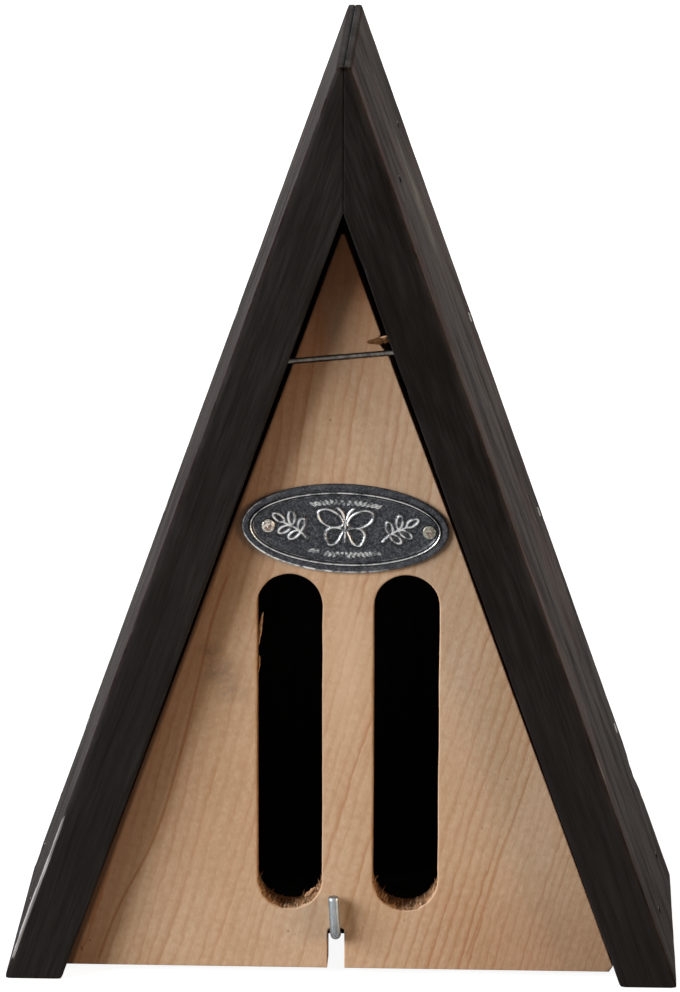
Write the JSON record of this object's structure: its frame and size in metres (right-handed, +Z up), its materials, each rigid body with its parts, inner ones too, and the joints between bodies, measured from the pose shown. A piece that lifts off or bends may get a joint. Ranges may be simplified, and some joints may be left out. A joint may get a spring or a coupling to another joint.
{
  "type": "butterfly house",
  "caption": "Narrow A-frame butterfly house with dark roof boards, a natural wood front door hung on a wire, tall round-ended entry slots, a turning latch hook and an oval plate.",
  "frame": {"origin": "on the ground, midway between the feet and midway front to back", "axes": "+Z up to the ridge, -Y out of the front door, +X to the right as seen from the front"},
  "size_m": [0.174, 0.088, 0.24],
  "materials": {
    "dark_wood": "dark stained, fine grain, worn edges",
    "natural_wood": "bare planed softwood",
    "inner_wood": "dark stained, matt",
    "wire_steel": "drawn, dull zinc",
    "hook_steel": "galvanised, satin",
    "pressed_plate": "pressed, darkened, bright edges",
    "pin_steel": "bright, spots of rust",
    "nail_steel": "dull",
    "hanger_steel": "zinc plated"
  },
  "bodies": {
    "house": {"roof_board_left": "dark_wood", "roof_board_right": "dark_wood", "back_panel": "inner_wood", "floor_board": "inner_wood", "ridge_nails": "nail_steel", "back_panel_nails": "nail_steel", "floor_nails": "nail_steel", "back_floor_nails": "nail_steel", "hanger_plate": "hanger_steel", "hanger_screws": "hanger_steel"},
    "door": {"front_door": "natural_wood", "hinge_wire": "wire_steel", "label_plate": "pressed_plate", "label_nails": "pin_steel"},
    "latch": {"latch_hook": "hook_steel"}
  },
  "joints": [
    {"name": "door_swing", "type": "hinge", "parent": "house", "child": "door", "pos_m": [0, -0.0361, 0.1645], "axis": [-0.9954, 0, -0.0958], "range_deg": [0, 35]},
    {"name": "latch_turn", "type": "hinge", "parent": "house", "child": "latch", "pos_m": [-0.0015, -0.037, 0.01105], "axis": [0, 1, 0], "range_deg": [0, 183]}
  ]
}
